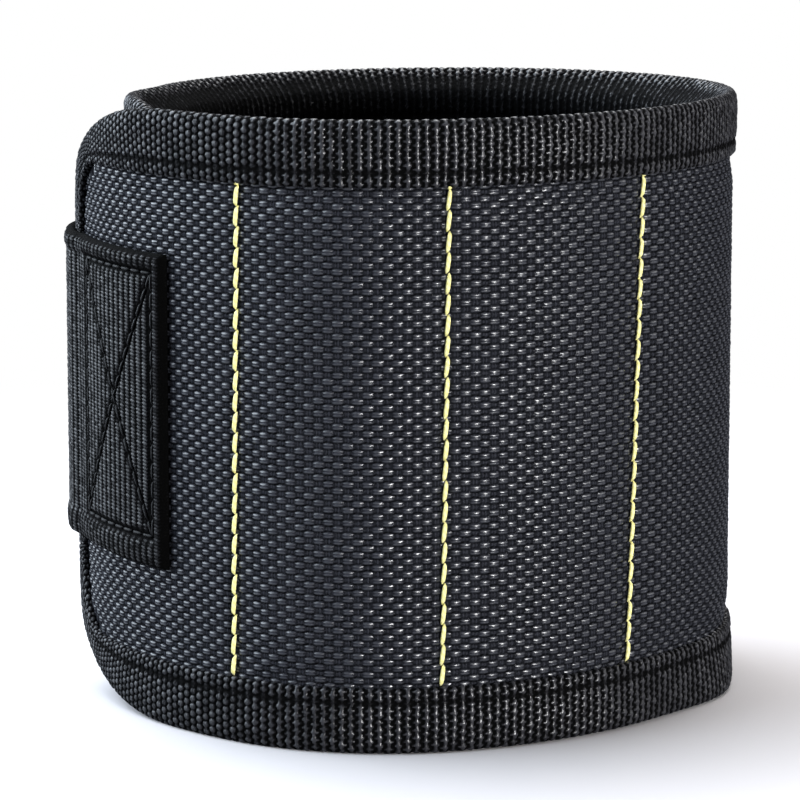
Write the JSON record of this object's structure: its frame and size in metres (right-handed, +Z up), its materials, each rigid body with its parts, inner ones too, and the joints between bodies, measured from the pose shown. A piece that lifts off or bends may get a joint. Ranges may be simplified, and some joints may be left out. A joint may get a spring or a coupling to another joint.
{
  "type": "magnetic wristband",
  "caption": "Wide padded fabric wristband with magnets sewn into pockets, bound edges, yellow stitch rows and a hook-and-loop closing strap; it opens out flat.",
  "frame": {"origin": "centre of the bounding box in plan, at the bottom edge that the band stands on", "axes": "+Z up along the band's width, -Y out of the front pockets, +X to the right seen from the front"},
  "size_m": [0.1022, 0.0994, 0.09],
  "materials": {
    "face_cloth": "woven ballistic cloth, matt",
    "mesh_lining": "knitted spacer mesh, matt",
    "binding_tape": "ribbed webbing tape",
    "yellow_thread": "sewing thread, slight sheen",
    "strap_webbing": "ribbed webbing",
    "hook_tape": "moulded hooks",
    "loop_tape": "brushed loops",
    "magnet": "nickel plate"
  },
  "bodies": {
    "outer_end": {"face_outer_end": "face_cloth", "lining_outer_end": "mesh_lining", "binding_outer_end": "binding_tape", "stitch_row_1": "yellow_thread", "strap_anchor": "strap_webbing"},
    "pocket_1": {"face_pocket_1": "face_cloth", "lining_pocket_1": "mesh_lining", "binding_top_pocket_1": "binding_tape", "binding_bottom_pocket_1": "binding_tape", "magnet_upper_pocket_1": "magnet", "magnet_lower_pocket_1": "magnet", "stitch_row_2": "yellow_thread"},
    "pocket_2": {"face_pocket_2": "face_cloth", "lining_pocket_2": "mesh_lining", "binding_top_pocket_2": "binding_tape", "binding_bottom_pocket_2": "binding_tape", "magnet_upper_pocket_2": "magnet", "magnet_lower_pocket_2": "magnet", "stitch_row_3": "yellow_thread"},
    "pocket_3": {"face_pocket_3": "face_cloth", "lining_pocket_3": "mesh_lining", "binding_top_pocket_3": "binding_tape", "binding_bottom_pocket_3": "binding_tape", "magnet_upper_pocket_3": "magnet", "magnet_lower_pocket_3": "magnet"},
    "pocket_4": {"face_pocket_4": "face_cloth", "lining_pocket_4": "mesh_lining", "binding_top_pocket_4": "binding_tape", "binding_bottom_pocket_4": "binding_tape", "magnet_upper_pocket_4": "magnet", "magnet_lower_pocket_4": "magnet", "stitch_row_4": "yellow_thread"},
    "pocket_5": {"face_pocket_5": "face_cloth", "lining_pocket_5": "mesh_lining", "binding_top_pocket_5": "binding_tape", "binding_bottom_pocket_5": "binding_tape", "magnet_upper_pocket_5": "magnet", "magnet_lower_pocket_5": "magnet", "stitch_row_5": "yellow_thread"},
    "fold_1": {"face_fold_1": "face_cloth", "lining_fold_1": "mesh_lining", "binding_top_fold_1": "binding_tape", "binding_bottom_fold_1": "binding_tape", "loop_tape_fold_1": "loop_tape"},
    "fold_2": {"face_fold_2": "face_cloth", "lining_fold_2": "mesh_lining", "binding_top_fold_2": "binding_tape", "binding_bottom_fold_2": "binding_tape", "loop_tape_fold_2": "loop_tape"},
    "inner_end": {"face_inner_end": "face_cloth", "lining_inner_end": "mesh_lining", "binding_inner_end": "binding_tape"},
    "strap_span": {"strap_span": "strap_webbing", "hook_tape_span": "hook_tape"},
    "strap_tip": {"strap_tip": "strap_webbing", "hook_tape_tip": "hook_tape"}
  },
  "joints": [
    {"name": "band_open", "type": "hinge", "parent": "pocket_2", "child": "pocket_3", "pos_m": [0.03385, -0.03095, 0.045], "axis": [0, 0, -1], "range_deg": [0, 30.25]},
    {"name": "open_pocket_4", "type": "hinge", "parent": "pocket_3", "child": "pocket_4", "pos_m": [0.04871, -0.00359, 0.045], "axis": [0, 0, -1], "range_deg": [0, 38]},
    {"name": "open_pocket_5", "type": "hinge", "parent": "pocket_4", "child": "pocket_5", "pos_m": [0.04391, 0.02673, 0.045], "axis": [0, 0, -1], "range_deg": [0, 46.5]},
    {"name": "open_fold_1", "type": "hinge", "parent": "pocket_5", "child": "fold_1", "pos_m": [0.01883, 0.0443, 0.045], "axis": [0, 0, -1], "range_deg": [0, 45]},
    {"name": "open_fold_2", "type": "hinge", "parent": "fold_1", "child": "fold_2", "pos_m": [-0.01396, 0.03881, 0.045], "axis": [0, 0, -1], "range_deg": [0, 41.74]},
    {"name": "open_inner_end", "type": "hinge", "parent": "fold_2", "child": "inner_end", "pos_m": [-0.03504, 0.01303, 0.045], "axis": [0, 0, -1], "range_deg": [0, 52.85]},
    {"name": "open_pocket_1", "type": "hinge", "parent": "pocket_2", "child": "pocket_1", "pos_m": [0.00724, -0.0471, 0.045], "axis": [0, 0, 1], "range_deg": [0, 42.25]},
    {"name": "open_outer_end", "type": "hinge", "parent": "pocket_1", "child": "outer_end", "pos_m": [-0.02264, -0.04157, 0.045], "axis": [0, 0, 1], "range_deg": [0, 52]},
    {"name": "strap_peel", "type": "hinge", "parent": "outer_end", "child": "strap_span", "pos_m": [-0.05105, 0.00617, 0.045], "axis": [0, 0, 1], "range_deg": [0, 80.5]},
    {"name": "strap_tip_lift", "type": "hinge", "parent": "strap_span", "child": "strap_tip", "pos_m": [-0.01622, 0.04264, 0.045], "axis": [0, 0, 1], "range_deg": [0, 70]}
  ],
  "couplings": [
    {"joint": "open_pocket_4", "follows": "band_open", "ratio": 1.2397},
    {"joint": "open_pocket_5", "follows": "band_open", "ratio": 1.5207},
    {"joint": "open_fold_1", "follows": "band_open", "ratio": 1.4711},
    {"joint": "open_fold_2", "follows": "band_open", "ratio": 1.3633},
    {"joint": "open_inner_end", "follows": "band_open", "ratio": 1.7307},
    {"joint": "open_pocket_1", "follows": "band_open", "ratio": 1.3802},
    {"joint": "open_outer_end", "follows": "band_open", "ratio": 1.7025},
    {"joint": "strap_peel", "follows": "band_open", "ratio": 2.6446}
  ]
}
